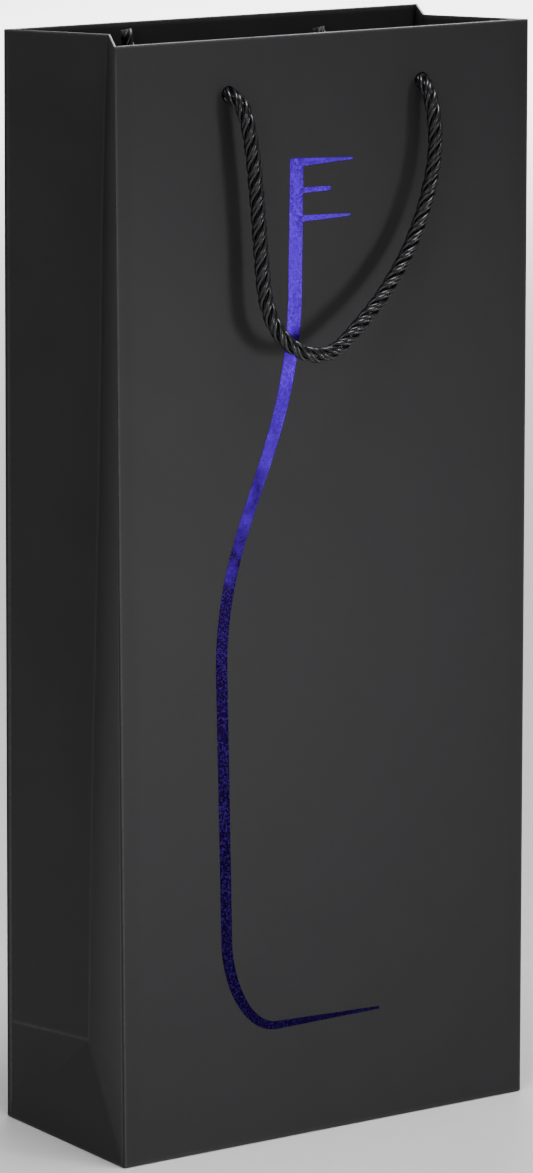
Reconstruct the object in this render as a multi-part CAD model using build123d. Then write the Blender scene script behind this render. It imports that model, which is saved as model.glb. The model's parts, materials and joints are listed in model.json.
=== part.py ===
"""A two-bottle paper carrier bag with folded gussets, a stiffened mouth and knotted rope handles.

Millimetres, +Z up. The origin is on the floor, under the middle of the bag.
-Y is the decorated front, +X is the right-hand side seen from the front.
"""

import math
import os

from build123d import *

# ---- driving dimensions -------------------------------------------------------------------
WIDTH = 176.0            # across the wide walls
DEPTH = 80.0             # front to back, at the floor
HEIGHT = 400.0
PAPER = 0.4              # laminated kraft paper
LEAN = {-1: 2.0, 1: 7.0}  # how far the front (-1) and back (1) walls lean in at the mouth
FOOT_RISE = 36.5         # height of the level crease that closes the square bottom
CREASE_INSET = (10.5, 20.9)  # how far a gusset's middle crease lies in, at FOOT_RISE and at the mouth
CREASE_SKEW = 1.1        # thickness along X of a slanting sheet, over its own thickness
WALL_GAP = 0.25          # play between a gusset's edge and the wall that it is folded from

CARD = 1.0               # greyboard strip that stiffens the mouth
CARD_HEIGHT = 38.0
CARD_HALF = 85.0
HEM_HEIGHT = 42.0        # paper turned in over the mouth
SIDE_HEM_GAP = 0.1
TAB_WIDTH = 15.0         # glued overlap along the back left edge
TAB_SPAN = (3.2, 352.0)

FLAP_REACH = 12.0        # how far each long base flap passes the middle
FLAP_CLEAR = 0.3
SIDE_FLAP = 40.0
BOARD = 1.5              # loose greyboard floor
BOARD_HALF = (86.3, 38.8)

ROPE = 5.5               # diameter of the twisted handle rope
HOLE = 6.5
HOLE_X = 40.9
HOLE_Z = 382.0
PIVOT_OUT = 5.5          # the rope bends down this far in front of the wall
STUB_CLEAR = 0.3
KNOT_RADIUS = 7.0
TAIL_DROP = 19.0         # free end below a front knot
TAIL_RISE = {-1: 14.5, 1: 11.0}  # free end above the left and right knots at the back

FOIL = 0.05
NECK_TOP = 356.5

# One handle loop as it hangs: X, distance in front of the wall, Z. The first and last points
# are the bends at the two holes.
LOOP = [
    (-40.9, 5.5, 382.0),
    (-38.4, 7.2, 371.0),
    (-35.7, 8.2, 354.0),
    (-33.4, 8.6, 333.0),
    (-32.6, 9.8, 312.0),
    (-30.2, 12.8, 298.6),
    (-20.2, 15.4, 289.2),
    (-6.0, 15.4, 288.8),
    (6.2, 13.4, 297.6),
    (18.0, 11.4, 307.0),
    (30.5, 9.4, 323.0),
    (39.0, 8.6, 341.0),
    (42.4, 8.4, 358.0),
    (42.4, 7.2, 371.5),
    (40.9, 5.5, 382.0),
]
BEND_SHARE = 0.45        # part of the shorter run that each bend takes up

os.makedirs("parts", exist_ok=True)


def save(shape, name):
    export_step(shape, f"parts/{name}.step")


# ---- sheets --------------------------------------------------------------------------------
def sheet(outer, inner):
    """A thin closed sheet between two matching outlines."""
    count = len(outer)
    faces = [Face(Wire.make_polygon(outer)), Face(Wire.make_polygon(inner))]
    for i in range(count):
        j = (i + 1) % count
        faces.append(Face(Wire.make_polygon([outer[i], outer[j], inner[j], inner[i]])))
    return Solid(Shell(faces))


def wall_y(side, z, inset):
    """Y of the plane that lies inset inside the front (-1) or back (1) wall's outer face."""
    return side * (DEPTH / 2 - LEAN[side] * z / HEIGHT - inset)


def wall_layer(side, x0, x1, z0, z1, inset0, inset1):
    """A flat layer parallel to a wide wall."""
    corners = [(x0, z0), (x1, z0), (x1, z1), (x0, z1)]
    outer = [(x, wall_y(side, z, inset0), z) for x, z in corners]
    inner = [(x, wall_y(side, z, inset1), z) for x, z in corners]
    return sheet(outer, inner)


def rope_holes(side):
    """Cutters for the two rope holes in a wide wall."""
    return [
        Pos(x, side * DEPTH / 2, HOLE_Z) * Rot(90, 0, 0) * Cylinder(HOLE / 2, DEPTH / 4)
        for x in (-HOLE_X, HOLE_X)
    ]


def wide_wall(side):
    return wall_layer(side, -WIDTH / 2, WIDTH / 2, 0, HEIGHT, 0, PAPER) - rope_holes(side)


def mouth_card(side):
    top = HEIGHT - PAPER
    card = wall_layer(side, -CARD_HALF, CARD_HALF, top - CARD_HEIGHT, top, PAPER, PAPER + CARD)
    return card - rope_holes(side)


def wall_hem(side):
    """Paper folded over the card: a lip on top and a strip inside."""
    top = HEIGHT - PAPER
    lip = wall_layer(side, -CARD_HALF, CARD_HALF, top, HEIGHT, PAPER, 2 * PAPER + CARD)
    strip = wall_layer(
        side, -CARD_HALF, CARD_HALF, HEIGHT - HEM_HEIGHT, top, PAPER + CARD, 2 * PAPER + CARD
    )
    return lip + strip - rope_holes(side)


def glue_tab():
    edge = -WIDTH / 2 + 1.0
    return wall_layer(1, edge, edge + TAB_WIDTH, *TAB_SPAN, PAPER, 2 * PAPER)


# ---- gussets -------------------------------------------------------------------------------
def crease_inset(z):
    foot, mouth = CREASE_INSET
    return foot + (mouth - foot) * (z - FOOT_RISE) / (HEIGHT - FOOT_RISE)


def gusset_edge(x_side, y_side, z, inset):
    """A point on the vertical fold where a gusset meets a wide wall."""
    return (x_side * (WIDTH / 2 - inset), wall_y(y_side, z, PAPER + WALL_GAP), z)


def gusset_crease(x_side, z, inset):
    """A point on the gusset's middle crease."""
    x = x_side * (WIDTH / 2 - crease_inset(z) - CREASE_SKEW * inset)
    middle = (wall_y(-1, z, PAPER + WALL_GAP) + wall_y(1, z, PAPER + WALL_GAP)) / 2
    return (x, middle, z)


def gusset_band(x_side, y_side, z0, z1, inset0, inset1):
    """Half a gusset between two heights: a sheet ruled from the wall's fold to the crease."""
    sections = [
        Wire.make_polygon([
            gusset_edge(x_side, y_side, z, inset0),
            gusset_crease(x_side, z, inset0),
            gusset_crease(x_side, z, inset1),
            gusset_edge(x_side, y_side, z, inset1),
        ])
        for z in (z0, z1)
    ]
    return Solid.make_loft(sections, ruled=True)


def gusset_corner(x_side, y_side):
    """The small triangle between the wall's fold, the level crease and the slanting crease."""
    outlines = [
        [
            gusset_edge(x_side, y_side, 0, inset),
            gusset_edge(x_side, y_side, FOOT_RISE, inset),
            gusset_crease(x_side, FOOT_RISE, inset),
        ]
        for inset in (0, PAPER)
    ]
    return sheet(*outlines)


def gusset_foot(x_side):
    """The triangle that stands on the floor and leans in to the crease."""
    outlines = [
        [
            gusset_edge(x_side, -1, 0, inset),
            gusset_edge(x_side, 1, 0, inset),
            gusset_crease(x_side, FOOT_RISE, inset),
        ]
        for inset in (0, PAPER)
    ]
    return sheet(*outlines)


def gusset_hem(x_side, y_side):
    inset = PAPER + SIDE_HEM_GAP
    return gusset_band(x_side, y_side, HEIGHT - HEM_HEIGHT, HEIGHT, inset, inset + PAPER)


# ---- base ----------------------------------------------------------------------------------
def slab(x0, x1, y0, y1, z0, z1):
    return Pos((x0 + x1) / 2, (y0 + y1) / 2, (z0 + z1) / 2) * Box(x1 - x0, y1 - y0, z1 - z0)


def long_flap(side, level):
    """A base flap that hangs on a wide wall and reaches past the middle."""
    near = DEPTH / 2 - PAPER - FLAP_CLEAR
    y0, y1 = sorted((side * near, -side * FLAP_REACH))
    half = WIDTH / 2 - PAPER - 2 * FLAP_CLEAR
    return slab(-half, half, y0, y1, level * PAPER, (level + 1) * PAPER)


def side_flap(x_side, level):
    """A base flap that hangs on a gusset, with its corners cut away."""
    near = WIDTH / 2 - PAPER - 2 * FLAP_CLEAR
    half = DEPTH / 2 - PAPER - 2 * FLAP_CLEAR
    outline = [
        (x_side * near, -half),
        (x_side * near, half),
        (x_side * (near - SIDE_FLAP), half - SIDE_FLAP / 2),
        (x_side * (near - SIDE_FLAP), SIDE_FLAP / 2 - half),
    ]
    face = Face(Wire.make_polygon([(x, y, level * PAPER) for x, y in outline]))
    return extrude(face, PAPER, dir=(0, 0, 1))


def base_board():
    x, y = BOARD_HALF
    floor = 3 * PAPER
    return slab(-x, x, -y, y, floor, floor + BOARD)


# ---- rope ----------------------------------------------------------------------------------
def handle_route(side):
    """The hanging loop's corners, in front of the front wall or mirrored behind the back one."""
    return [Vector(-side * x, wall_y(side, z, -out), z) for x, out, z in LOOP]


def bend_radii(route):
    """The largest bend that the runs on each side of a corner allow."""
    radii = []
    for before, corner, after in zip(route, route[1:], route[2:]):
        run_in = corner - before
        run_out = after - corner
        half_turn = math.radians(run_in.get_angle(run_out)) / 2
        shorter = min(run_in.length, run_out.length)
        radii.append(BEND_SHARE * shorter / math.tan(half_turn))
    return radii


def handle_cord(side):
    route = handle_route(side)
    radii = bend_radii(route)
    path = FilletPolyline(*route, radius=radii).wire()
    section = Plane(origin=path @ 0, z_dir=path % 0) * Circle(ROPE / 2)
    cord = sweep(section, path=path)
    swept = math.pi * ROPE**2 / 4 * path.length
    print("cord", side, "length", round(path.length, 1), "radii", [round(r) for r in radii])
    print("  volume over section times length", round(cord.volume / swept, 4))
    return cord


def knot(side, x_side):
    """A rope's knot inside the wall, with its free end and the stub that fills the hole."""
    x = x_side * HOLE_X
    inset = 2 * PAPER + CARD + KNOT_RADIUS
    stub_from = wall_y(side, HOLE_Z, STUB_CLEAR + ROPE / 2 - PIVOT_OUT)
    middle = wall_y(side, HOLE_Z, inset)
    reach = abs(middle - stub_from)
    stub = Pos(x, (stub_from + middle) / 2, HOLE_Z) * Rot(90, 0, 0) * Cylinder(ROPE / 2, reach)
    free = TAIL_RISE[x_side] if side == 1 else -TAIL_DROP
    tail = Pos(x, middle, HOLE_Z + free / 2) * Cylinder(ROPE / 2, abs(free))
    return Pos(x, middle, HOLE_Z) * Sphere(KNOT_RADIUS) + stub + tail


# ---- foil motif ----------------------------------------------------------------------------
def stroke(x0, x1, z, thick0, thick1):
    """A level foil stroke that tapers from one end to the other."""
    return Polygon(
        (x0, z - thick0 / 2), (x1, z - thick1 / 2), (x1, z + thick1 / 2), (x0, z + thick0 / 2),
        align=None,
    )


def bottle_side():
    """The left outline of a plain bottle: neck, shoulder, body, heel and base line."""
    with BuildSketch() as outline:
        with BuildLine():
            neck = Line((-15.5, NECK_TOP), (-16.6, 306.0))
            shoulder = Spline(neck @ 1, (-48.0, 176.0), tangents=[(-0.06, -1), (0, -1)],
                              tangent_scalars=[1.4, 1.3])
            body = Line(shoulder @ 1, (-46.0, 76.0))
            heel = Spline(body @ 1, (-22.0, 41.2), tangents=[(0.06, -1), (1, 0)])
            base = Line(heel @ 1, (23.0, 41.8))
            tip = Line(base @ 1, (23.0, 42.8))
            base_top = Line(tip @ 1, (-22.0, 44.2))
            heel_in = Spline(base_top @ 1, (-41.4, 76.0), tangents=[(-1, 0), (-0.06, 1)])
            body_in = Line(heel_in @ 1, (-43.2, 176.0))
            shoulder_in = Spline(body_in @ 1, (-10.9, 306.0), tangents=[(0, 1), (0.06, 1)],
                                 tangent_scalars=[1.3, 1.4])
            neck_in = Line(shoulder_in @ 1, (-9.9, NECK_TOP))
            Line(neck_in @ 1, neck @ 0)
        make_face()
    return outline.sketch


def foil_motif():
    motif = bottle_side()
    motif += stroke(-12.0, 11.0, 355.0, 3.0, 0.8)
    motif += stroke(-12.0, 1.5, 345.0, 2.0, 1.6)
    motif += stroke(-12.0, 10.0, 335.0, 2.4, 0.8)
    slope = math.atan2(LEAN[-1], HEIGHT)
    face = Plane(
        origin=(0, -DEPTH / 2, 0),
        x_dir=(1, 0, 0),
        z_dir=(0, -math.cos(slope), math.sin(slope)),
    )
    return extrude(face * motif, FOIL)


# ---- the pieces ----------------------------------------------------------------------------
for side, place in ((-1, "front"), (1, "back")):
    save(wide_wall(side), f"{place}_panel")
    save(mouth_card(side), f"{place}_mouth_card")
    save(wall_hem(side), f"{place}_hem")
    save(handle_cord(side), f"{place}_handle_cord")
    for x_side, hand in ((-1, "left"), (1, "right")):
        save(knot(side, x_side), f"{place}_{hand}_knot")

for x_side, hand in ((-1, "left"), (1, "right")):
    save(gusset_foot(x_side), f"{hand}_gusset_foot")
    save(side_flap(x_side, 2), f"{hand}_base_flap")
    for side, place in ((-1, "front"), (1, "back")):
        save(gusset_band(x_side, side, FOOT_RISE, HEIGHT, 0, PAPER), f"{hand}_gusset_{place}")
        save(gusset_corner(x_side, side), f"{hand}_gusset_{place}_corner")
        save(gusset_hem(x_side, side), f"{hand}_hem_{place}")

save(long_flap(-1, 0), "front_base_flap")
save(long_flap(1, 1), "back_base_flap")
save(base_board(), "base_board")
save(glue_tab(), "side_glue_tab")
save(foil_motif(), "foil_bottle_outline")
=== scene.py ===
"""A two-bottle paper carrier bag: folded walls and gussets, foil motif, knotted rope handles.

Everything is in metres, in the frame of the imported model: the origin is on the floor under the
middle of the bag, -Y is the decorated front and +X the right-hand side seen from the front.
"""

import json
import math

import bpy
import numpy as np
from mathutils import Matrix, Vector

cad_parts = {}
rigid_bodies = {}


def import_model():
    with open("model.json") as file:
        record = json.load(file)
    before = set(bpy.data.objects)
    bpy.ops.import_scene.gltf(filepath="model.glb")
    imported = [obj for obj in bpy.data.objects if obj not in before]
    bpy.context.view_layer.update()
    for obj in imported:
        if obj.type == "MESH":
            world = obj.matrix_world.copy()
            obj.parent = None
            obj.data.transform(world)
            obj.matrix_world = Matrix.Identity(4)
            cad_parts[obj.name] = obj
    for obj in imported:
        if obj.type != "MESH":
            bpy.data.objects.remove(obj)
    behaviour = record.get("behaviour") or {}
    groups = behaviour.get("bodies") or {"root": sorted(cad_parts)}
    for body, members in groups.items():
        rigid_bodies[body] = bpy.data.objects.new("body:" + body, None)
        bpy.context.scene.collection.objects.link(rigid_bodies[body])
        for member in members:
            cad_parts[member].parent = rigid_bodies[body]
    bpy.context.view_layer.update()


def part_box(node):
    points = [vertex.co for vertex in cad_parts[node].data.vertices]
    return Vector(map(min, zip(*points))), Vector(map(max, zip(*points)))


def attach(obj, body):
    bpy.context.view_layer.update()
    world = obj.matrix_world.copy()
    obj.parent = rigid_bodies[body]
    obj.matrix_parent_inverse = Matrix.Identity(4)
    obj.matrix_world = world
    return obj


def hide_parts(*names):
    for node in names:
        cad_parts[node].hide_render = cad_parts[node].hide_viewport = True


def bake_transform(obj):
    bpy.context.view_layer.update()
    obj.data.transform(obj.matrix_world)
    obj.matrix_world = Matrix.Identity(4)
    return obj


bl_info = {
    "name": "Paper carrier bag",
    "version": (1, 0, 0),
    "blender": (4, 5, 0),
    "location": "3D View > Sidebar > Carrier Bag",
    "description": "Builds a two-bottle paper carrier bag with rope handles",
    "category": "Add Mesh",
}

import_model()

MM = 0.001
FRONT, BACK = -1, 1
LEFT, RIGHT = -1, 1
SIDE_NAMES = {FRONT: "front", BACK: "back"}
HAND_NAMES = {LEFT: "left", RIGHT: "right"}

HALF_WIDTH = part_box("front_panel")[1].x
HALF_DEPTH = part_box("back_panel")[1].y
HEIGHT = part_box("front_panel")[1].z
FOOT_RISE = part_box("left_gusset_foot")[1].z
HEM_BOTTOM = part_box("front_hem")[0].z
CARD_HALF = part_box("front_mouth_card")[1].x
CARD_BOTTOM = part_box("front_mouth_card")[0].z

# How far each corner of the mouth has leant in: the walls are never quite square.
MOUTH_LEAN = {
    (FRONT, LEFT): 3.1 * MM,
    (FRONT, RIGHT): 0.8 * MM,
    (BACK, LEFT): 4.0 * MM,
    (BACK, RIGHT): 10.2 * MM,
}
CREASE_FOOT = 10.8 * MM       # how far a gusset's middle crease lies in at the level crease
CREASE_MOUTH = 19.9 * MM      # the same at the mouth
CREASE_FLARE = 1.2 * MM       # extra fold just under the mouth
SPLIT = 2.6 * MM              # each wall's skin turns the corner and ends this far round it
CREASE_SPLIT = 0.06           # the two halves of a gusset meet just behind the crease

# One handle loop as it hangs: X, distance in front of the wall, Z. It starts and ends in the holes.
LOOP = [
    (-40.9, -1.0, 380.7),
    (-40.6, 3.2, 380.4),
    (-39.2, 7.4, 375.6),
    (-37.2, 8.6, 364.0),
    (-35.3, 8.6, 346.0),
    (-33.9, 8.8, 327.0),
    (-33.2, 9.8, 309.0),
    (-29.8, 12.8, 296.8),
    (-20.4, 15.4, 289.0),
    (-8.0, 15.4, 288.3),
    (4.2, 13.4, 297.0),
    (16.2, 11.4, 306.6),
    (29.4, 9.4, 322.4),
    (37.6, 8.6, 340.0),
    (41.4, 8.4, 357.0),
    (40.8, 7.4, 371.5),
    (40.6, 3.2, 380.1),
    (40.9, -1.0, 380.7),
]
HOLE_RADIUS = 3.0 * MM
BEND_WIDTH = 3.6              # millimetres to a point below and in front of a hole; the handles step works it out but nothing uses it
SHARP_ANGLE = math.radians(38)  # edges sharper than this stay crisp
KNOT_TAIL = {FRONT: {LEFT: -20.0, RIGHT: -18.0}, BACK: {LEFT: 17.0, RIGHT: 13.4}}

CAMERA_PLACE = (-1.1406, -1.6883, 0.6041)
CAMERA_AZIMUTH = 34.05
CAMERA_ELEVATION = 11.35
CAMERA_LENS = 175.3


# ---- what a user would change -----------------------------------------------------------------
class BagPaper(bpy.types.PropertyGroup):
    thickness: bpy.props.FloatProperty(
        name="Paper", description="Thickness of the laminated paper", default=0.0004, unit="LENGTH"
    )
    card: bpy.props.FloatProperty(
        name="Mouth card", description="Thickness of the stiffener", default=0.001, unit="LENGTH"
    )
    fold_reach: bpy.props.FloatProperty(
        name="Fold reach", description="Where a corner starts to turn", default=0.001,
        unit="LENGTH",
    )
    colour: bpy.props.FloatVectorProperty(
        name="Paper colour", description="Colour of the matt film", subtype="COLOR", size=4,
        default=(0.0223, 0.0212, 0.0230, 1.0), min=0, max=1,
    )


class BagRope(bpy.types.PropertyGroup):
    diameter: bpy.props.FloatProperty(
        name="Rope", description="Diameter of the twisted rope", default=0.0055, unit="LENGTH"
    )
    lay: bpy.props.FloatProperty(
        name="Lay", description="Length of one turn of a strand", default=0.0182, unit="LENGTH"
    )
    strands: bpy.props.IntProperty(
        name="Strands", description="Strands twisted into the rope", default=3, min=2, max=6
    )
    yarns: bpy.props.IntProperty(
        name="Yarns", description="Yarns seen round the rope", default=6, min=3, max=24
    )
    colour: bpy.props.FloatVectorProperty(
        name="Rope colour", description="Colour of the yarn", subtype="COLOR", size=4,
        default=(0.0045, 0.0045, 0.0055, 1.0), min=0, max=1,
    )


class BagFoil(bpy.types.PropertyGroup):
    thickness: bpy.props.FloatProperty(
        name="Foil", description="How far the foil stands on the paper", default=0.00005,
        precision=6, unit="LENGTH",
    )
    # painted reflection: the foil's colour is light at the neck and dark at the base, as a
    # reflection of its surroundings would be
    bright: bpy.props.FloatVectorProperty(
        name="Bright foil", description="Foil colour at the neck", subtype="COLOR", size=4,
        default=(0.035, 0.000, 0.245, 1.0), min=0, max=1,
    )
    painted_dark_reflection: bpy.props.FloatVectorProperty(
        name="Deep foil", description="Foil colour at the base", subtype="COLOR", size=4,
        default=(0.0034, 0.0004, 0.0115, 1.0), min=0, max=1,
    )


# ---- small tools ------------------------------------------------------------------------------
def smooth_step(low, high, value):
    share = np.clip((value - low) / (high - low), 0, 1)
    return share * share * (3 - 2 * share)


def ridge(distance, width):
    """1 on a crease, falling to 0 a few widths away."""
    return np.exp(-((distance / width) ** 2))


def new_object(name, mesh, material):
    """An object at the origin, with its faces smooth but for its real edges."""
    mesh.materials.clear()
    mesh.materials.append(material)
    mesh.polygons.foreach_set("use_smooth", [True] * len(mesh.polygons))
    mesh.set_sharp_from_angle(angle=SHARP_ANGLE)
    piece = bpy.data.objects.new(name, mesh)
    bpy.context.scene.collection.objects.link(piece)
    return piece


def closed_sheet(name, outer, inner, wear, material):
    """A thin closed sheet between two grids of points, with a fold-mark value at each point: above
    zero a pale mark for rubbing and painted highlight, below zero a painted shade line.
    """
    rows, columns = outer.shape[:2]
    count = rows * columns

    def point(face, row, column):
        return face * count + row * columns + column

    faces = []
    for r in range(rows - 1):
        for c in range(columns - 1):
            a, b = point(0, r, c), point(0, r, c + 1)
            d, e = point(0, r + 1, c + 1), point(0, r + 1, c)
            faces.append((a, b, d, e))
            faces.append((e + count, d + count, b + count, a + count))
    for r in (0, rows - 1):
        for c in range(columns - 1):
            quad = (point(0, r, c), point(1, r, c), point(1, r, c + 1), point(0, r, c + 1))
            faces.append(quad if r == 0 else quad[::-1])
    for c in (0, columns - 1):
        for r in range(rows - 1):
            quad = (point(0, r, c), point(0, r + 1, c), point(1, r + 1, c), point(1, r, c))
            faces.append(quad if c == 0 else quad[::-1])
    mesh = bpy.data.meshes.new(name)
    points = np.concatenate([outer.reshape(-1, 3), inner.reshape(-1, 3)])
    mesh.from_pydata(points.tolist(), [], faces)
    # fold marks: pale rubbing with painted highlight above zero, painted shade below zero
    attribute = mesh.attributes.new("fold_wear_and_painted_light", "FLOAT", "POINT")
    attribute.data.foreach_set("value", np.tile(wear.reshape(-1), 2).astype(np.float32))
    mesh.update()
    return new_object(name, mesh, material)


def baked(piece):
    """A piece's mesh with its modifiers worked in."""
    graph = bpy.context.evaluated_depsgraph_get()
    return bpy.data.meshes.new_from_object(piece.evaluated_get(graph))


# ---- the bag's surface ------------------------------------------------------------------------
def corner(side, hand, z):
    lean = MOUTH_LEAN[side, hand] * z / HEIGHT
    return np.array([hand * HALF_WIDTH, side * (HALF_DEPTH - lean)])


def crease_depth(z):
    share = max(z - FOOT_RISE, 0) / (HEIGHT - FOOT_RISE)
    return CREASE_FOOT + (CREASE_MOUTH - CREASE_FOOT) * share + CREASE_FLARE * share**9


def gusset_folds(s, z):
    """The gusset's V above the level crease, and the square-bottom triangle under it."""
    softness = 0.011
    tent = crease_depth(z) * (1 + softness - math.hypot(s, softness))
    foot = CREASE_FOOT * z / FOOT_RISE
    return tent, foot


def gusset_point(hand, s, z):
    """s runs from -1 at the front wall to 1 at the back wall."""
    tent, foot = gusset_folds(s, z)
    inset = (tent + foot - math.hypot(tent - foot, 0.35 * MM)) / 2
    front, back = corner(FRONT, hand, z), corner(BACK, hand, z)
    y = front[1] + (back[1] - front[1]) * (s + 1) / 2
    flutter = 0.25 * MM * math.sin(3 * math.pi * z / HEIGHT + hand) * (1 - s * s)
    return np.array([hand * (HALF_WIDTH - inset + flutter * min(z / FOOT_RISE, 1) ** 2), y])


def beside_wall(side, hand, distance, z):
    """A point on the gusset, this far from a wide wall."""
    gap = corner(BACK, hand, z)[1] - corner(FRONT, hand, z)[1]
    return gusset_point(hand, side * (1 - 2 * distance / gap), z)


def wall_bow(side, x, z):
    """The wide walls bow a little between their folds."""
    across = 1 - (x / HALF_WIDTH) ** 2
    along = math.sin(math.pi * min(z / HEIGHT, 1)) ** 2
    return side * 0.9 * MM * across * along


def wall_point(side, x, z):
    left, right = corner(side, LEFT, z), corner(side, RIGHT, z)
    share = (x + HALF_WIDTH) / (2 * HALF_WIDTH)
    return np.array([x, left[1] + (right[1] - left[1]) * share + wall_bow(side, x, z)])


def wall_outline(side, z, stations, reach, turns=9):
    """A wide wall seen from above, anticlockwise, from one gusset round both corners."""
    first, last = side, -side

    def turn(hand):
        start = beside_wall(side, hand, reach, z)
        middle = corner(side, hand, z)
        end = wall_point(side, hand * (HALF_WIDTH - reach), z)
        shares = np.linspace(0, 1, turns)[:, None]
        return (1 - shares) ** 2 * start + 2 * shares * (1 - shares) * middle + shares**2 * end

    flange = [SPLIT + MM, SPLIT, (2 * SPLIT + reach) / 3, (SPLIT + 2 * reach) / 3]
    points = [beside_wall(side, first, distance, z) for distance in flange]
    points += [*turn(first), *(wall_point(side, x, z) for x in stations), *turn(last)[::-1]]
    points += [beside_wall(side, last, distance, z) for distance in flange[::-1]]
    return np.array(points)


def gusset_outline(hand, side, z, count=57):
    """Half a gusset seen from above, anticlockwise, with one extra point at each end."""
    gap = corner(BACK, hand, z)[1] - corner(FRONT, hand, z)[1]
    wall = side * (1 - 2 * SPLIT / gap)
    stations = np.linspace(wall, CREASE_SPLIT, count)
    step = stations[1] - stations[0]
    stations = np.concatenate([[wall - step], stations, [CREASE_SPLIT + step]])
    if (hand == RIGHT) != (side == FRONT):
        stations = stations[::-1]
    return np.array([gusset_point(hand, s, z) for s in stations])


def inset_outline(points, depth):
    """The outline moved in by depth, without its two end points."""
    along = points[2:] - points[:-2]
    along /= np.linalg.norm(along, axis=1)[:, None]
    inwards = np.stack([-along[:, 1], along[:, 0]], 1)
    return points[1:-1] + inwards * np.reshape(depth, (-1, 1))


def fold_rows(paper, heights):
    """One side of the folded sheet from the floor, over the mouth and down to the hem's edge.

    Each row is (height, depth in the paper, share of the card's thickness) for both faces.
    """
    thick, play = paper.thickness, 0.06 * MM
    crown = 0.5 * MM
    top = HEIGHT - crown
    under = [top - d * MM for d in (3.6, 2.2, 1.3, 0.7, 0.3, 0.0)]
    heights = [z for z in heights if z < under[0] - 2 * MM] + under
    outer = [(z, 0.0, 0.0) for z in heights]
    inner = [(z, thick, 0.0) for z in heights]
    for angle in np.linspace(0, math.pi, 15)[1:]:
        lift = abs(math.sin(angle)) ** 0.6
        share = (1 - math.copysign(abs(math.cos(angle)) ** 0.6, math.cos(angle))) / 2
        outer.append((top + crown * lift, share * (2 * thick + play), share))
        inner.append((top + 0.12 * MM * lift, thick + share * play, share))
    for z in np.linspace(top - 1.5 * MM, HEM_BOTTOM, 9):
        outer.append((z, 2 * thick + play, 1.0))
        inner.append((z, thick + play, 1.0))
    return outer, inner


def folded_sheet(name, paper, outline, heights, card, wear, material):
    """A folded sheet: outline(z) is its plan, card its stiffener's thickness at each column."""
    floor_turn = 0.7 * MM
    grids = []
    for face, rows in enumerate(fold_rows(paper, heights)):
        grid = []
        for z, depth, share in rows:
            tuck = max(floor_turn - z, 0) if depth <= paper.thickness else 0
            round_in = floor_turn - math.sqrt(floor_turn**2 - tuck**2)
            plan = inset_outline(outline(z), depth + share * card + round_in * (1 - face))
            grid.append(np.column_stack([plan, np.full(len(plan), z)]))
        grids.append(np.array(grid))
    return closed_sheet(name, grids[0], grids[1], wear(grids[0]), material)


def edge_wear_and_highlight(grid):
    """Pale marks, rubbing and painted highlight, where the sheet turns over the mouth and under the
    floor.
    """
    z = grid[..., 2]
    return np.maximum(ridge(HEIGHT - z, 0.5 * MM), 0.5 * ridge(z, 0.6 * MM))


def corner_wear_highlight_and_shade(side, grid):
    """A pale line on the wall's side of each corner, rubbing and painted highlight on the fold, and
    a painted shade line on the gusset's side.
    """
    x, y, z = grid[..., 0], grid[..., 1], grid[..., 2]
    worn_and_painted_light = np.zeros(x.shape)
    for hand in (LEFT, RIGHT):
        along = HALF_WIDTH - hand * x
        across = np.abs(y - side * (HALF_DEPTH - MOUTH_LEAN[side, hand] * z / HEIGHT))
        near = along < 8 * MM
        # pale line: rubbing and a painted highlight on the rounded fold
        rubbed_and_highlit = 0.45 * ridge(along - 0.75 * MM, 0.40 * MM)
        # painted shade: a dark line where the crease's groove lies in shade
        dark = 0.9 * ridge(across - 0.75 * MM, 0.45 * MM)
        worn_and_painted_light = np.where(near, (rubbed_and_highlit - dark) * smooth_step(0, 6 * MM, HEIGHT - z), worn_and_painted_light)
    return worn_and_painted_light


# ---- shaders ----------------------------------------------------------------------------------
def set_input(tree, socket, value):
    """Set an input to a value, or join it to another node's output."""
    if isinstance(value, bpy.types.NodeSocket):
        tree.links.new(value, socket)
    else:
        socket.default_value = value


def node(tree, kind, settings=None, **inputs):
    """A node with its settings and inputs set; an input may be a value or another's output."""
    made = tree.nodes.new(kind)
    for name, value in (settings or {}).items():
        setattr(made, name, value)
    for name, value in inputs.items():
        key = int(name[1:]) if name[0] == "i" and name[1:].isdigit() else name.replace("_", " ")
        set_input(tree, made.inputs[key], value)
    return made


def math_node(tree, operation, *values):
    inputs = {f"i{i}": value for i, value in enumerate(values)}
    return node(tree, "ShaderNodeMath", {"operation": operation}, **inputs).outputs[0]


def ramp(tree, value, low, high, to_low=0.0, to_high=1.0):
    """A value carried from one range to another, and kept in it."""
    made = node(
        tree, "ShaderNodeMapRange", {"clamp": True},
        Value=value, From_Min=low, From_Max=high, To_Min=to_low, To_Max=to_high,
    )
    return made.outputs[0]


def mix_colour(tree, share, first, second):
    made = node(tree, "ShaderNodeMix", {"data_type": "RGBA"})
    for place, value in ((0, share), (6, first), (7, second)):
        set_input(tree, made.inputs[place], value)
    return made.outputs[2]


def noise(tree, where, scale, detail=3.0, roughness=0.55):
    made = node(
        tree, "ShaderNodeTexNoise",
        Vector=where, Scale=scale, Detail=detail, Roughness=roughness,
    )
    return made.outputs["Fac"]


def new_group(name, inputs, outputs):
    """An empty shader group with named sockets."""
    tree = bpy.data.node_groups.new(name, "ShaderNodeTree")
    for label, value in inputs.items():
        kind = "NodeSocketColor" if isinstance(value, tuple) else "NodeSocketFloat"
        socket = tree.interface.new_socket(label, in_out="INPUT", socket_type=kind)
        socket.default_value = value
    for label, kind in outputs.items():
        tree.interface.new_socket(label, in_out="OUTPUT", socket_type=kind)
    return tree, tree.nodes.new("NodeGroupInput"), tree.nodes.new("NodeGroupOutput")


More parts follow.
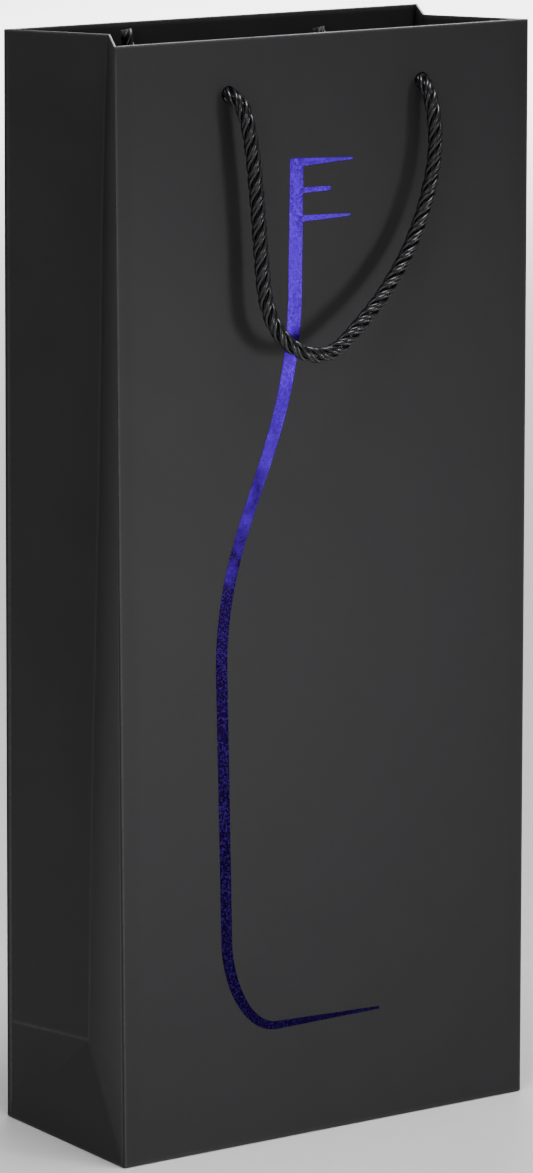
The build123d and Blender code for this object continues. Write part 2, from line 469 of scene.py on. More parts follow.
def paper_film_group():
    """Matt film on paper: fibre grain, soft mottling, shallow waves, pale folds for rubbing and
    painted highlight, and painted shade lines.
    """
    name = "Paper film"
    if name in bpy.data.node_groups:
        return bpy.data.node_groups[name]
    tree, given, result = new_group(
        name,
        {"Colour": (0.02, 0.02, 0.02, 1.0), "Wear": 0.5, "Roughness": 0.5, "Waves": 0.3},
        {"Colour": "NodeSocketColor", "Roughness": "NodeSocketFloat", "Height": "NodeSocketFloat"},
    )
    where = node(tree, "ShaderNodeTexCoord").outputs["Object"]
    fold = node(tree, "ShaderNodeAttribute", {"attribute_name": "fold_wear_and_painted_light"}).outputs["Fac"]
    grain = noise(tree, where, 2600.0, 2.0)
    fibre = noise(tree, where, 700.0, 4.0, 0.6)
    mottle = noise(tree, where, 34.0, 3.0)
    waves = noise(tree, where, 9.0, 1.0, 0.4)
    scuffs = ramp(tree, noise(tree, where, 190.0, 4.0, 0.7), 0.62, 0.78)

    # pale fold marks: rubbing and painted highlight
    rubbed_and_highlit = math_node(tree, "MAXIMUM", fold, 0.0)
    broken = math_node(tree, "MULTIPLY", rubbed_and_highlit, ramp(tree, fibre, 0.30, 0.62, 0.35, 1.0))
    # painted shade: fold values below zero darken the colour
    shade = ramp(tree, fold, -1.0, 0.0, 0.22, 1.0)
    worn_and_painted_light = math_node(tree, "MULTIPLY", broken, given.outputs["Wear"])
    speckle = ramp(tree, grain, 0.3, 0.7, -0.08, 0.08)
    tone = math_node(tree, "ADD", ramp(tree, mottle, 0.3, 0.7, 0.90, 1.08), speckle)
    tone = math_node(tree, "MULTIPLY", tone, shade)
    toned = node(
        tree, "ShaderNodeVectorMath", {"operation": "SCALE"}, i0=given.outputs["Colour"], Scale=tone
    ).outputs[0]
    # pale fold colour: rubbing and painted highlight
    pale = mix_colour(tree, worn_and_painted_light, toned, (0.16, 0.16, 0.17, 1.0))
    tree.links.new(pale, result.inputs["Colour"])

    unevenness = ramp(tree, mottle, 0.3, 0.7, -0.035, 0.035)
    rough = math_node(tree, "ADD", given.outputs["Roughness"], unevenness)
    rough = math_node(tree, "ADD", rough, math_node(tree, "MULTIPLY", scuffs, -0.05))
    rough = math_node(tree, "ADD", rough, math_node(tree, "MULTIPLY", rubbed_and_highlit, -0.10))
    tree.links.new(rough, result.inputs["Roughness"])

    height = math_node(tree, "MULTIPLY", grain, 0.012)
    height = math_node(tree, "ADD", height, math_node(tree, "MULTIPLY", fibre, 0.02))
    swell = math_node(tree, "MULTIPLY", waves, given.outputs["Waves"])
    tree.links.new(math_node(tree, "ADD", height, swell), result.inputs["Height"])
    return tree


def principled(name):
    material = bpy.data.materials.new(name)
    material.use_nodes = True
    tree = material.node_tree
    shader = tree.nodes["Principled BSDF"]
    return material, tree, shader


def paper_material(paper):
    """Laminated black paper."""
    name = "black matt paper"
    if name in bpy.data.materials:
        return bpy.data.materials[name]
    material, tree, shader = principled(name)
    film = node(
        tree, "ShaderNodeGroup", {"node_tree": paper_film_group()},
        Colour=paper.colour, Wear=0.55, Roughness=0.60, Waves=0.35,
    )
    bump = node(
        tree, "ShaderNodeBump", Strength=0.6, Distance=MM, Height=film.outputs["Height"]
    )
    tree.links.new(film.outputs["Colour"], shader.inputs["Base Color"])
    tree.links.new(film.outputs["Roughness"], shader.inputs["Roughness"])
    tree.links.new(bump.outputs["Normal"], shader.inputs["Normal"])
    shader.inputs["IOR"].default_value = 1.45
    shader.inputs["Specular IOR Level"].default_value = 0.22
    return material


def board_material():
    """Black greyboard: pressed fibre with pale flecks."""
    name = "greyboard"
    if name in bpy.data.materials:
        return bpy.data.materials[name]
    material, tree, shader = principled(name)
    where = node(tree, "ShaderNodeTexCoord").outputs["Object"]
    fibre = noise(tree, where, 900.0, 6.0, 0.7)
    flecks = ramp(tree, noise(tree, where, 420.0, 2.0), 0.66, 0.74)
    dark, pale, fleck = (0.018, 0.018, 0.019, 1), (0.034, 0.034, 0.035, 1), (0.10, 0.10, 0.10, 1)
    base = mix_colour(tree, ramp(tree, fibre, 0.3, 0.7), dark, pale)
    flecked = mix_colour(tree, math_node(tree, "MULTIPLY", flecks, 0.5), base, fleck)
    tree.links.new(flecked, shader.inputs["Base Color"])
    tree.links.new(ramp(tree, fibre, 0.3, 0.7, 0.78, 0.92), shader.inputs["Roughness"])
    bump = node(tree, "ShaderNodeBump", Strength=0.5, Distance=0.1 * MM, Height=fibre)
    tree.links.new(bump.outputs["Normal"], shader.inputs["Normal"])
    return material


def foil_material(foil):
    """Hot-stamped violet-blue foil: metallic, grainy where it has not taken to the paper, with a
    painted reflection from dark at the base to light at the neck.
    """
    material, tree, shader = principled("violet foil")
    where = node(tree, "ShaderNodeTexCoord").outputs["Object"]
    z = node(tree, "ShaderNodeSeparateXYZ", Vector=where).outputs["Z"]
    patches = noise(tree, where, 140.0, 3.0, 0.6)
    speckle = noise(tree, where, 1500.0, 3.0, 0.65)
    # painted reflection: the colour turns from the dark reflection at the base to the light one at
    # the neck
    height = math_node(tree, "ADD", z, ramp(tree, patches, 0.3, 0.7, -0.03, 0.03))
    share = ramp(tree, height, 0.205, 0.305)
    colour = mix_colour(tree, share, tuple(foil.painted_dark_reflection), tuple(foil.bright))
    pits = ramp(tree, speckle, 0.38, 0.50, 0.75, 0.0)
    colour = mix_colour(tree, pits, colour, (0.02, 0.01, 0.10, 1))
    tree.links.new(colour, shader.inputs["Base Color"])
    tree.links.new(ramp(tree, speckle, 0.3, 0.7, 0.52, 0.28), shader.inputs["Roughness"])
    shader.inputs["Metallic"].default_value = 1.0
    shader.inputs["Specular Tint"].default_value = (0.35, 0.15, 1.0, 1.0)
    grain = math_node(tree, "ADD", speckle, math_node(tree, "MULTIPLY", patches, 2.0))
    bump = node(tree, "ShaderNodeBump", Strength=0.7, Distance=0.08 * MM, Height=grain)
    tree.links.new(bump.outputs["Normal"], shader.inputs["Normal"])
    return material


def rope_material(rope):
    """Glossy black yarn: painted highlight on the yarn crowns, painted shade in the valleys, fine
    broken fibres.
    """
    name = "black twisted yarn"
    if name in bpy.data.materials:
        return bpy.data.materials[name]
    material, tree, shader = principled(name)
    where = node(tree, "ShaderNodeTexCoord").outputs["Object"]
    crown = node(tree, "ShaderNodeAttribute", {"attribute_name": "yarn_crown"}).outputs["Fac"]
    groove = node(tree, "ShaderNodeAttribute", {"attribute_name": "strand_crown"}).outputs["Fac"]
    fibre = noise(tree, where, 2400.0, 3.0, 0.6)
    # painted shade in the valleys and painted highlight on the yarn crowns, both scaled from the
    # yarn colour
    dark = tuple(0.25 * c for c in rope.colour[:3]) + (1.0,)
    light = tuple(4.0 * c for c in rope.colour[:3]) + (1.0,)
    share = math_node(tree, "MULTIPLY", math_node(tree, "POWER", crown, 3.0), groove)
    share = math_node(tree, "MULTIPLY", share, ramp(tree, fibre, 0.3, 0.7, 0.8, 1.1))
    cut = node(tree, "ShaderNodeAttribute", {"attribute_name": "cut_end"}).outputs["Fac"]
    yarn = mix_colour(tree, share, dark, light)
    # the cut ends are made a lighter grey
    tree.links.new(mix_colour(tree, cut, yarn, (0.11, 0.11, 0.12, 1)), shader.inputs["Base Color"])
    tree.links.new(ramp(tree, fibre, 0.3, 0.7, 0.20, 0.34), shader.inputs["Roughness"])
    bump = node(tree, "ShaderNodeBump", Strength=0.5, Distance=0.06 * MM, Height=fibre)
    tree.links.new(bump.outputs["Normal"], shader.inputs["Normal"])
    shader.inputs["IOR"].default_value = 1.48
    return material


# ---- rope tree --------------------------------------------------------------------------------
def rope_tree():
    """Sweeps a lobed rope section along a curve, turning it by the lay, with yarn ripples."""
    name = "Twisted rope"
    if name in bpy.data.node_groups:
        return bpy.data.node_groups[name]
    tree = bpy.data.node_groups.new(name, "GeometryNodeTree")
    new_socket = tree.interface.new_socket
    new_socket("Geometry", in_out="INPUT", socket_type="NodeSocketGeometry")
    for label in ("Diameter", "Lay", "Yarn depth", "Step", "Cut end"):
        new_socket(label, in_out="INPUT", socket_type="NodeSocketFloat")
    for label in ("Strands", "Yarns"):
        new_socket(label, in_out="INPUT", socket_type="NodeSocketInt")
    new_socket("Material", in_out="INPUT", socket_type="NodeSocketMaterial")
    new_socket("Geometry", in_out="OUTPUT", socket_type="NodeSocketGeometry")
    given = tree.nodes.new("NodeGroupInput").outputs
    result = tree.nodes.new("NodeGroupOutput")
    points_round = 108
    turn = 2 * math.pi

    # the section: circles set round the middle, one for each strand
    index = node(tree, "GeometryNodeInputIndex").outputs[0]
    angle = math_node(tree, "MULTIPLY", index, turn / points_round)
    sector = math_node(tree, "DIVIDE", turn, given["Strands"])
    within = math_node(tree, "SUBTRACT", math_node(tree, "MODULO", angle, sector),
                       math_node(tree, "MULTIPLY", sector, 0.5))
    radius = math_node(tree, "MULTIPLY", given["Diameter"], 0.5)
    strand = math_node(tree, "MULTIPLY", radius, 0.52)
    offset = math_node(tree, "SUBTRACT", radius, strand)
    across = math_node(tree, "MULTIPLY", offset, math_node(tree, "SINE", within))
    across = math_node(tree, "MULTIPLY", across, across)
    inside = math_node(tree, "SUBTRACT", math_node(tree, "MULTIPLY", strand, strand), across)
    ahead = math_node(tree, "MULTIPLY", offset, math_node(tree, "COSINE", within))
    bulge = math_node(tree, "SQRT", math_node(tree, "MAXIMUM", inside, 0.0))
    lobe = math_node(tree, "ADD", ahead, bulge)
    place = node(tree, "ShaderNodeCombineXYZ",
                 X=math_node(tree, "MULTIPLY", lobe, math_node(tree, "COSINE", angle)),
                 Y=math_node(tree, "MULTIPLY", lobe, math_node(tree, "SINE", angle))).outputs[0]
    circle = node(tree, "GeometryNodeCurvePrimitiveCircle", Resolution=points_round)
    section = node(tree, "GeometryNodeSetPosition", Geometry=circle.outputs[0], Position=place)
    crown = math_node(tree, "DIVIDE", lobe, radius)
    keep_round = node(tree, "GeometryNodeCaptureAttribute", Geometry=section.outputs[0])
    keep_round.capture_items.new("FLOAT", "Round")
    keep_round.capture_items.new("FLOAT", "Crown")
    tree.links.new(angle, keep_round.inputs["Round"])
    tree.links.new(crown, keep_round.inputs["Crown"])

    # the path: even steps, turned by the lay
    path = node(tree, "GeometryNodeResampleCurve", {"mode": "LENGTH"},
                Curve=given["Geometry"], Length=given["Step"])
    length = node(tree, "GeometryNodeSplineParameter").outputs["Length"]
    tilt = math_node(tree, "MULTIPLY", math_node(tree, "DIVIDE", length, given["Lay"]), turn)
    turned = node(tree, "GeometryNodeSetCurveTilt", Curve=path.outputs[0], Tilt=tilt)
    keep_tilt = node(tree, "GeometryNodeCaptureAttribute", Geometry=turned.outputs[0])
    keep_tilt.capture_items.new("FLOAT", "Tilt")
    tree.links.new(tilt, keep_tilt.inputs["Tilt"])
    swept = node(tree, "GeometryNodeCurveToMesh", Curve=keep_tilt.outputs[0],
                 Profile_Curve=keep_round.outputs[0], Fill_Caps=True)

    # the yarns lie side by side along each strand
    half_round = math_node(tree, "MULTIPLY", keep_round.outputs["Round"], 0.5)
    half_turns = math_node(tree, "MULTIPLY", half_round, given["Yarns"])
    yarn = math_node(tree, "ABSOLUTE", math_node(tree, "SINE", half_turns))
    normal = node(tree, "GeometryNodeInputNormal").outputs[0]
    lift = math_node(
        tree, "MULTIPLY", math_node(tree, "SUBTRACT", yarn, 0.6), given["Yarn depth"]
    )
    push = node(tree, "ShaderNodeVectorMath", {"operation": "SCALE"}, i0=normal, Scale=lift)
    rippled = node(
        tree, "GeometryNodeSetPosition", Geometry=swept.outputs[0], Offset=push.outputs[0]
    )
    spent = node(tree, "GeometryNodeSplineLength").outputs["Length"]
    near_end = ramp(tree, math_node(tree, "SUBTRACT", spent, length), 0.4 * MM, 2.4 * MM, 1.0, 0.0)
    keep_tilt.capture_items.new("FLOAT", "End")
    tree.links.new(math_node(tree, "MULTIPLY", near_end, given["Cut end"]), keep_tilt.inputs["End"])
    strand_crown = ramp(tree, keep_round.outputs["Crown"], 0.55, 0.95)
    # crown values for the shader's painted highlight and painted shade, and the cut ends
    marked = rippled
    for label, value in (("yarn_crown", yarn), ("cut_end", keep_tilt.outputs["End"]),
                         ("strand_crown", strand_crown)):
        marked = node(
            tree, "GeometryNodeStoreNamedAttribute", {"data_type": "FLOAT", "domain": "POINT"},
            Geometry=marked.outputs[0], Name=label, Value=value,
        )
    smooth = node(tree, "GeometryNodeSetShadeSmooth", Geometry=marked.outputs[0])
    real = node(tree, "GeometryNodeRealizeInstances", Geometry=smooth.outputs[0])
    painted = node(
        tree, "GeometryNodeSetMaterial", Geometry=real.outputs[0], Material=given["Material"]
    )
    tree.links.new(painted.outputs[0], result.inputs[0])
    return tree


def spline_object(name, points, tip=1.0):
    """A smooth curve with these control points; its last one may be narrowed to a tip."""
    curve = bpy.data.curves.new(name, "CURVE")
    curve.dimensions = "3D"
    curve.resolution_u = 12
    spline = curve.splines.new("NURBS")
    spline.points.add(len(points) - 1)
    for point, place in zip(spline.points, points):
        point.co = (*place, 1.0)
    spline.points[-1].radius = tip
    spline.order_u = 3
    spline.use_endpoint_u = True
    guide = bpy.data.objects.new(name, curve)
    bpy.context.scene.collection.objects.link(guide)
    return guide


def rope_piece(name, points, rope, diameter, step, tip=1.0):
    """A piece of twisted rope along a smooth curve, and the points that the curve passes."""
    guide = spline_object(name + "_guide", points, tip)
    line = baked(guide)
    path = [tuple(v.co) for v in line.vertices]
    bpy.data.meshes.remove(line)
    modifier = guide.modifiers.new("Rope", "NODES")
    modifier.node_group = rope_tree()
    values = {
        "Diameter": diameter, "Lay": rope.lay * diameter / rope.diameter, "Strands": rope.strands,
        "Yarns": rope.yarns, "Yarn depth": 0.50 * MM, "Step": step, "Cut end": float(tip < 1),
        "Material": rope_material(rope),
    }
    for item in modifier.node_group.interface.items_tree:
        if item.in_out == "INPUT" and item.name in values:
            modifier[item.identifier] = values[item.name]
    mesh = baked(guide)
    mesh.name = name
    bpy.data.objects.remove(guide)
    piece = bpy.data.objects.new(name, mesh)
    bpy.context.scene.collection.objects.link(piece)
    return piece, path


def before_wall(side, x, out, z):
    """A point this far in front of a wide wall's face."""
    return Vector((x, wall_point(side, x, z)[1] + side * out, z))


# ---- operators --------------------------------------------------------------------------------
class BAG_OT_walls(bpy.types.Operator):
    """Fold the front and back walls, with their hems over the mouth cards"""

    bl_idname = "bag.walls"
    bl_label = "Wide walls"

    def execute(self, context):
        paper = context.scene.bag_paper
        material = paper_material(paper)
        reach = paper.fold_reach
        heights = np.concatenate([
            np.linspace(0, 0.7 * MM, 5),
            np.linspace(2 * MM, HEM_BOTTOM, 62),
            np.linspace(HEM_BOTTOM + 5 * MM, HEIGHT - MM, 10),
        ])
        for side in (FRONT, BACK):
            name = SIDE_NAMES[side]
            steps = np.array([5.0, 3.2, 2.2, 1.5]) * MM
            wide = np.linspace(-1, 1, 43)[1:-1] * (HALF_WIDTH - steps[0])
            stations = -side * np.concatenate([steps[::-1] - HALF_WIDTH, wide, HALF_WIDTH - steps])

            def outline(z):
                return wall_outline(side, z, stations, reach)

            across = np.abs(outline(HEIGHT)[1:-1, 0])
            card = paper.card * smooth_step(CARD_HALF + 1.2 * MM, CARD_HALF - 0.6 * MM, across)

            def wear(grid):
                return edge_wear_and_highlight(grid) + corner_wear_highlight_and_shade(side, grid)

            wall = folded_sheet(f"{name}_wall", paper, outline, heights, card, wear, material)
            punch_holes(wall, side)
            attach(wall, f"{name}_wall")
            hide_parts(f"{name}_panel", f"{name}_hem")
            stiffener = mouth_card(side, paper)
            punch_holes(stiffener, side)
            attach(stiffener, f"{name}_wall")
            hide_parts(f"{name}_mouth_card")
        return {"FINISHED"}


def lining(name, side, xs, zs, depths, material):
    """A flat strip against the inside of a wide wall, between two depths in it."""
    faces = []
    for depth in depths:
        rows = []
        for z in zs:
            rows.append([(x, wall_point(side, x, z)[1] - side * depth, z) for x in xs])
        faces.append(np.array(rows))
    return closed_sheet(name, faces[0], faces[1], np.zeros(faces[0].shape[:2]), material)


def mouth_card(side, paper):
    """The greyboard strip between a wide wall and its hem."""
    xs = np.linspace(-CARD_HALF, CARD_HALF, 24) * side * -1
    zs = np.linspace(CARD_BOTTOM, HEIGHT - 0.6 * MM, 8)
    depths = (paper.thickness + 0.02 * MM, paper.thickness + paper.card)
    return lining(f"{SIDE_NAMES[side]}_mouth_card_strip", side, xs, zs, depths, board_material())


def seam_tab(paper, material):
    """The glued tab behind the back wall's left edge, clear of the gusset that folds in there."""
    low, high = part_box("side_glue_tab")
    xs = np.linspace(high.x, low.x + 1.2 * MM, 10)
    zs = np.linspace(low.z, high.z, 60)
    depths = (paper.thickness + 0.02 * MM, 2 * paper.thickness)
    return lining("seam_tab", BACK, xs, zs, depths, material)


def punch_holes(sheet, side):
    """Punch the two rope holes through a wide wall's layers."""
    for x, _, z in (LOOP[0], LOOP[-1]):
        place = before_wall(side, x * MM * -side, 0, z * MM)
        bpy.ops.mesh.primitive_cylinder_add(
            vertices=40, radius=HOLE_RADIUS, depth=12 * MM, location=place,
            rotation=(math.radians(90), 0, 0),
        )
        punch = bpy.context.object
        cut = sheet.modifiers.new("Hole", "BOOLEAN")
        cut.operation = "DIFFERENCE"
        cut.solver = "EXACT"
        cut.object = punch
        mesh = baked(sheet)
        sheet.modifiers.clear()
        old = sheet.data
        sheet.data = mesh
        bpy.data.meshes.remove(old)
        bpy.data.objects.remove(punch)
    sheet.data.set_sharp_from_angle(angle=SHARP_ANGLE)


class BAG_OT_gussets(bpy.types.Operator):
    """Fold the four half gussets, with the square-bottom folds and the hems"""

    bl_idname = "bag.gussets"
    bl_label = "Gussets"

    def execute(self, context):
        paper = context.scene.bag_paper
        material = paper_material(paper)
        foot = FOOT_RISE
        heights = np.concatenate([
            np.linspace(0, foot + 2 * MM, 56),
            np.linspace(foot + 5 * MM, HEM_BOTTOM, 48),
            np.linspace(HEM_BOTTOM + 5 * MM, HEIGHT - MM, 10),
        ])
        for hand in (LEFT, RIGHT):
            for side in (FRONT, BACK):
                place = SIDE_NAMES[side]
                name = f"{HAND_NAMES[hand]}_gusset_{place}"

                def outline(z):
                    return gusset_outline(hand, side, z)

                def wear(grid):
                    return np.maximum(edge_wear_and_highlight(grid), crease_wear_and_highlight(hand, grid))

                half = folded_sheet(f"{name}_half", paper, outline, heights, 0.0, wear, material)
                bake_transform(half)
                nodes = [name, f"{name}_corner", f"{HAND_NAMES[hand]}_hem_{place}"]
                if side == BACK:
                    nodes.append(f"{HAND_NAMES[hand]}_gusset_foot")
                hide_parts(*nodes)
        return {"FINISHED"}


def crease_wear_and_highlight(hand, grid):
    """Pale marks, rubbing and painted highlight, along the middle crease and the folds of the
    square bottom.
    """
    worn_and_painted_light = np.zeros(grid.shape[:2])
    for r in range(grid.shape[0]):
        for c in range(grid.shape[1]):
            _, y, z = grid[r, c]
            front, back = corner(FRONT, hand, z)[1], corner(BACK, hand, z)[1]
            s = 2 * (y - front) / (back - front) - 1
            tent, foot = gusset_folds(s, z)
            level = (0.38 if s > 0 else 0.08) * ridge(z - FOOT_RISE, 0.5 * MM)
            middle = 0.16 * ridge(s * HALF_DEPTH, 0.5 * MM) if z > FOOT_RISE else 0
            slant = 0.04 * ridge(tent - foot, 0.14 * MM) if z < FOOT_RISE + MM else 0
            worn_and_painted_light[r, c] = max(level, middle, slant)
    return worn_and_painted_light


class BAG_OT_base(bpy.types.Operator):
    """Give the base flaps and the loose floor board their finishes and run the seam tab"""

    bl_idname = "bag.base"
    bl_label = "Base"

    def execute(self, context):
        paper = context.scene.bag_paper
        film = paper_material(paper)
        for name in ("front_base_flap", "back_base_flap", "left_base_flap", "right_base_flap"):
            paint(name, film)
        tab = seam_tab(paper, film)
        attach(tab, "back_wall")
        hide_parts("side_glue_tab")
        paint("base_board", board_material())
        return {"FINISHED"}


def paint(name, material):
    """Give a carried-over part its finish."""
    part = next(o for o in bpy.data.objects if o.name == name)
    part.data.materials.clear()
    part.data.materials.append(material)


class BAG_OT_foil(bpy.types.Operator):
    """Stamp the foil bottle outline on the front wall"""

    bl_idname = "bag.foil"
    bl_label = "Foil motif"

    def execute(self, context):
        foil = context.scene.bag_foil
        strips = [bottle_side()] + [lip_line(*line) for line in LIP_LINES]
        vertices, faces = [], []
        for outer, inner in strips:
            add_strip(outer, inner, foil.thickness, vertices, faces)
        mesh = bpy.data.meshes.new("foil_outline")
        mesh.from_pydata(vertices, [], faces)
        mesh.update()
        motif = new_object("foil_outline", mesh, foil_material(foil))
        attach(motif, "front_wall")
        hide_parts("foil_bottle_outline")
        return {"FINISHED"}


# Short level lines at the neck: start, end, height, thickness at each end (millimetres).
LIP_LINES = [
    (-12.0, 11.0, 355.0, 3.0, 0.8),
    (-12.0, 1.5, 345.0, 2.0, 1.6),
    (-12.0, 10.0, 335.0, 2.4, 0.8),
]


def bend(start, start_pull, end, end_pull, count=40):
    """A smooth curve that leaves start and reaches end along the given pulls."""
    t = np.linspace(0, 1, count)[:, None]
    a, b, c, d = (np.array(p, float) for p in (start, start_pull, end, end_pull))
    return (
        (2 * t**3 - 3 * t**2 + 1) * a + (t**3 - 2 * t**2 + t) * b
        + (3 * t**2 - 2 * t**3) * c + (t**3 - t**2) * d
    )


def run(start, end, count=24):
    return np.linspace(start, end, count)


def bottle_side():
    """The outer and inner edges of the left half of a plain bottle, from the mouth to the base."""
    outer = np.concatenate([
        run((-15.5, 356.5), (-16.6, 306.0)),
        bend((-16.6, 306.0), (-8, -175), (-48.0, 176.0), (0, -165)),
        run((-48.0, 176.0), (-46.0, 76.0)),
        bend((-46.0, 76.0), (2, -52), (-22.0, 41.2), (40, 0)),
        run((-22.0, 41.2), (23.0, 41.8)),
    ])
    inner = np.concatenate([
        run((-9.9, 356.5), (-10.9, 306.0)),
        bend((-10.9, 306.0), (-8, -175), (-43.2, 176.0), (0, -165)),
        run((-43.2, 176.0), (-41.4, 76.0)),
        bend((-41.4, 76.0), (2, -46), (-22.0, 44.2), (32, 0)),
        run((-22.0, 44.2), (23.0, 42.8)),
    ])
    return outer, inner


def lip_line(x0, x1, z, thick0, thick1):
    lower = run((x0, z - thick0 / 2), (x1, z - thick1 / 2), 12)
    upper = run((x0, z + thick0 / 2), (x1, z + thick1 / 2), 12)
    return lower, upper


def add_strip(outer, inner, thickness, vertices, faces):
    """A closed strip of foil between two edges, laid on the front wall."""
    first = len(vertices)
    for low, high in zip(outer, inner):
        for out in (-0.02 * MM, thickness):
            for x, z in (low, high):
                vertices.append(tuple(before_wall(FRONT, x * MM, out, z * MM)))
    count = len(outer)
    for i in range(count - 1):
        a = first + 4 * i
        b = a + 4
        faces.append((a + 2, b + 2, b + 3, a + 3))
        faces.append((a, a + 1, b + 1, b))
        faces.append((a, b, b + 2, a + 2))
        faces.append((a + 1, a + 3, b + 3, b + 1))
    last = first + 4 * (count - 1)
    faces.append((first, first + 2, first + 3, first + 1))
    faces.append((last, last + 1, last + 3, last + 2))


class BAG_OT_handles(bpy.types.Operator):
    """Hang the two rope handles and tie their knots inside the walls"""

    bl_idname = "bag.handles"
    bl_label = "Rope handles"

    def execute(self, context):
        rope = context.scene.bag_rope
        for side in (FRONT, BACK):
            place = SIDE_NAMES[side]
            knots = [knot(side, hand, rope) for hand in (LEFT, RIGHT)]
            points = [before_wall(side, -side * x * MM, out * MM, z * MM) for x, out, z in LOOP]
            name = f"{place}_handle_rope"
            handle, path = rope_piece(name, points, rope, rope.diameter, 0.45 * MM)
            _, out, high = LOOP[1]
            start = before_wall(side, 0, out * MM, high * MM)
            end = before_wall(side, 0, (out + BEND_WIDTH) * MM, (high - BEND_WIDTH) * MM)
            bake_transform(handle)
            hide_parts(f"{place}_handle_cord")
        return {"FINISHED"}


def knot(side, hand, rope):
    """An overhand knot drawn up against the inside of a wide wall, with its free end."""
    size = 1.75 * MM
    x0, z0 = hand * abs(LOOP[0][0]) * MM, LOOP[0][2] * MM
    free = KNOT_TAIL[side][hand] * MM
    down = 1 if free < 0 else -1

    def place(across, up, depth):
        return before_wall(side, x0 + down * across, -depth, z0 + down * up)

    lie = 6.6 * MM
    points = [place(0, 0, -0.2 * MM), place(0, 0, 2.2 * MM),
              place(0.6 * size, -0.9 * size, 2.7 * MM)]
    for t in np.linspace(math.pi + 0.55, 3 * math.pi - 0.55, 22):
        points.append(place(
            size * (math.sin(t) + 2 * math.sin(2 * t)),
            size * (math.cos(t) - 2 * math.cos(2 * t)),
            lie - 1.15 * size * math.sin(3 * t),
        ))
    end = abs(free)
    points += [place(-0.9 * MM, -0.45 * end, lie + 0.6 * MM), place(-0.4 * MM, -0.75 * end, lie),
               place(0.2 * MM, -end, lie - 0.8 * MM)]
    name = f"{SIDE_NAMES[side]}_{HAND_NAMES[hand]}_knot"
    piece, _ = rope_piece(name + "_rope", points, rope, 0.84 * rope.diameter, 0.5 * MM, tip=0.45)
    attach(piece, f"{SIDE_NAMES[side]}_wall")
    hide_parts(name)
    return piece


class BAG_OT_studio(bpy.types.Operator):
    """Lay the pale floor and set the lights and the world"""

    bl_idname = "bag.studio"
    bl_label = "Studio"

    def execute(self, context):
        floor_and_backdrop()
        area_light("key", (0.42, -0.92, 0.19), (-0.17, -0.04, 0.18), 0.24, 0.40, 42.0)
        area_light("fill", (-1.3, -0.95, 0.80), (-0.08, 0, 0.2), 0.7, 6.0)
        area_light("top", (0.0, -0.30, 1.7), (0, 0, 0.2), 0.6, 22.0)
        area_light("floor", (2.3, 3.1, 1.6), (2.3, 3.1, 0.0), 1.6, 190.0)
        world = bpy.data.worlds.new("white studio")
        world.use_nodes = True
        background = world.node_tree.nodes["Background"]
        background.inputs["Color"].default_value = (1.0, 1.0, 1.0, 1.0)
        background.inputs["Strength"].default_value = 0.20
        context.scene.world = world
        return {"FINISHED"}


def floor_and_backdrop():
    """A pale floor that turns up into a backdrop behind the bag."""
    half = 10.0
    start, radius = 6.5, 1.5
    line = [(-10.0, 0.0), (start, 0.0)]
    for angle in np.linspace(0, math.pi / 2, 24)[1:]:
        line.append((start + radius * math.sin(angle), radius * (1 - math.cos(angle))))
    line.append((start + radius, 9.0))
    vertices = []
    for y, z in line:
        vertices += [(-half, y, z - 0.0002), (half, y, z - 0.0002)]
    faces = [(2 * i, 2 * i + 1, 2 * i + 3, 2 * i + 2) for i in range(len(line) - 1)]
    mesh = bpy.data.meshes.new("studio_floor")
    mesh.from_pydata(vertices, [], faces)
    mesh.update()
    material, tree, shader = principled("white studio paper")
    where = node(tree, "ShaderNodeTexCoord").outputs["Object"]
    tone = ramp(tree, noise(tree, where, 60.0), 0.3, 0.7)
    tree.links.new(mix_colour(tree, tone, (0.86, 0.86, 0.86, 1), (0.88, 0.88, 0.88, 1)),
                   shader.inputs["Base Color"])
    shader.inputs["Roughness"].default_value = 0.9
    shader.inputs["Specular IOR Level"].default_value = 0.1
    new_object("studio_floor", mesh, material)


def area_light(name, place, aim, size, power, spread=180.0):
    light = bpy.data.lights.new(name, "AREA")
    light.spread = math.radians(spread)
    light.shape = "DISK"
    light.size = size
    light.energy = power
    lamp = bpy.data.objects.new(name, light)
    bpy.context.scene.collection.objects.link(lamp)
    lamp.location = place
    lamp.rotation_euler = (Vector(aim) - Vector(place)).to_track_quat("-Z", "Y").to_euler()


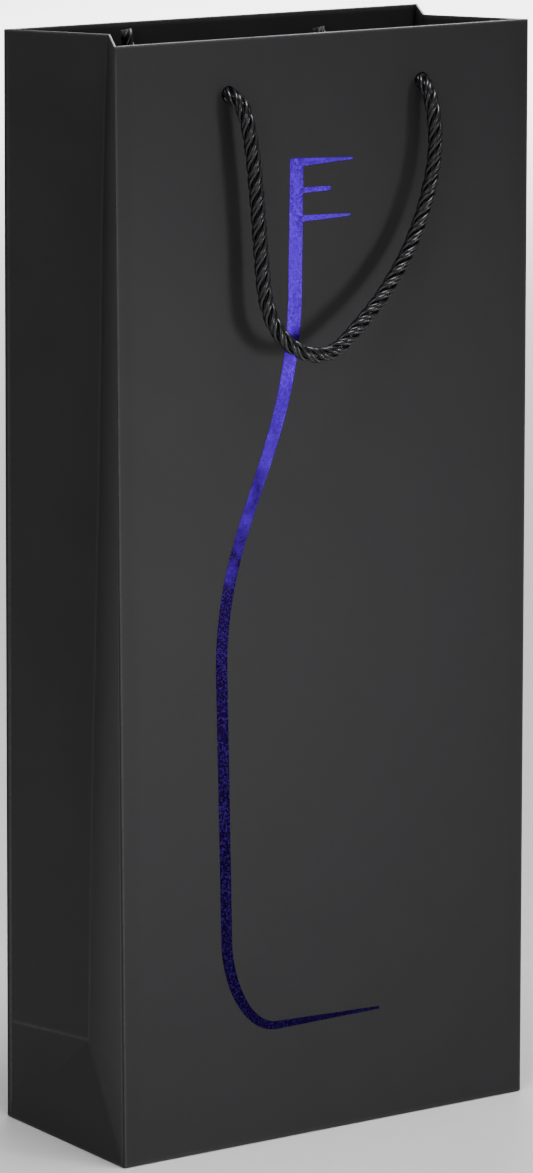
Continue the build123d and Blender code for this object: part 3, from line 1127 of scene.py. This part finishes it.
def make_camera():
    """The camera stands at the front left, a little above the mouth."""
    lens = bpy.data.cameras.new("camera")
    lens.sensor_width = 36.0
    lens.sensor_fit = "AUTO"
    lens.lens = CAMERA_LENS
    lens.clip_end = 100.0
    camera = bpy.data.objects.new("camera", lens)
    bpy.context.scene.collection.objects.link(camera)
    camera.location = CAMERA_PLACE
    turn, tip = math.radians(CAMERA_AZIMUTH), math.radians(CAMERA_ELEVATION)
    ahead = Vector((math.sin(turn) * math.cos(tip), math.cos(turn) * math.cos(tip), -math.sin(tip)))
    camera.rotation_euler = ahead.to_track_quat("-Z", "Y").to_euler()
    bpy.context.scene.camera = camera


class BAG_PT_panel(bpy.types.Panel):
    """The bag's sizes and colours, and the buttons that build it"""

    bl_idname = "BAG_PT_panel"
    bl_label = "Carrier bag"
    bl_space_type = "VIEW_3D"
    bl_region_type = "UI"
    bl_category = "Carrier Bag"

    def draw(self, context):
        scene = context.scene
        for group in (scene.bag_paper, scene.bag_rope, scene.bag_foil):
            for name in group.bl_rna.properties.keys():
                if name not in ("rna_type", "name"):
                    self.layout.prop(group, name)
        for step in STEPS:
            self.layout.operator(step.bl_idname)


STEPS = (BAG_OT_handles, BAG_OT_walls, BAG_OT_gussets, BAG_OT_base, BAG_OT_foil, BAG_OT_studio)
CLASSES = (BagPaper, BagRope, BagFoil, *STEPS, BAG_PT_panel)


def register():
    for cls in CLASSES:
        bpy.utils.register_class(cls)
    bpy.types.Scene.bag_paper = bpy.props.PointerProperty(type=BagPaper)
    bpy.types.Scene.bag_rope = bpy.props.PointerProperty(type=BagRope)
    bpy.types.Scene.bag_foil = bpy.props.PointerProperty(type=BagFoil)


def unregister():
    for name in ("bag_paper", "bag_rope", "bag_foil"):
        delattr(bpy.types.Scene, name)
    for cls in reversed(CLASSES):
        bpy.utils.unregister_class(cls)


def main():
    register()
    make_camera()
    bpy.ops.bag.handles()
    bpy.ops.bag.walls()
    bpy.ops.bag.gussets()
    bpy.ops.bag.base()
    bpy.ops.bag.foil()
    bpy.ops.bag.studio()


if __name__ == "__main__":
    main()
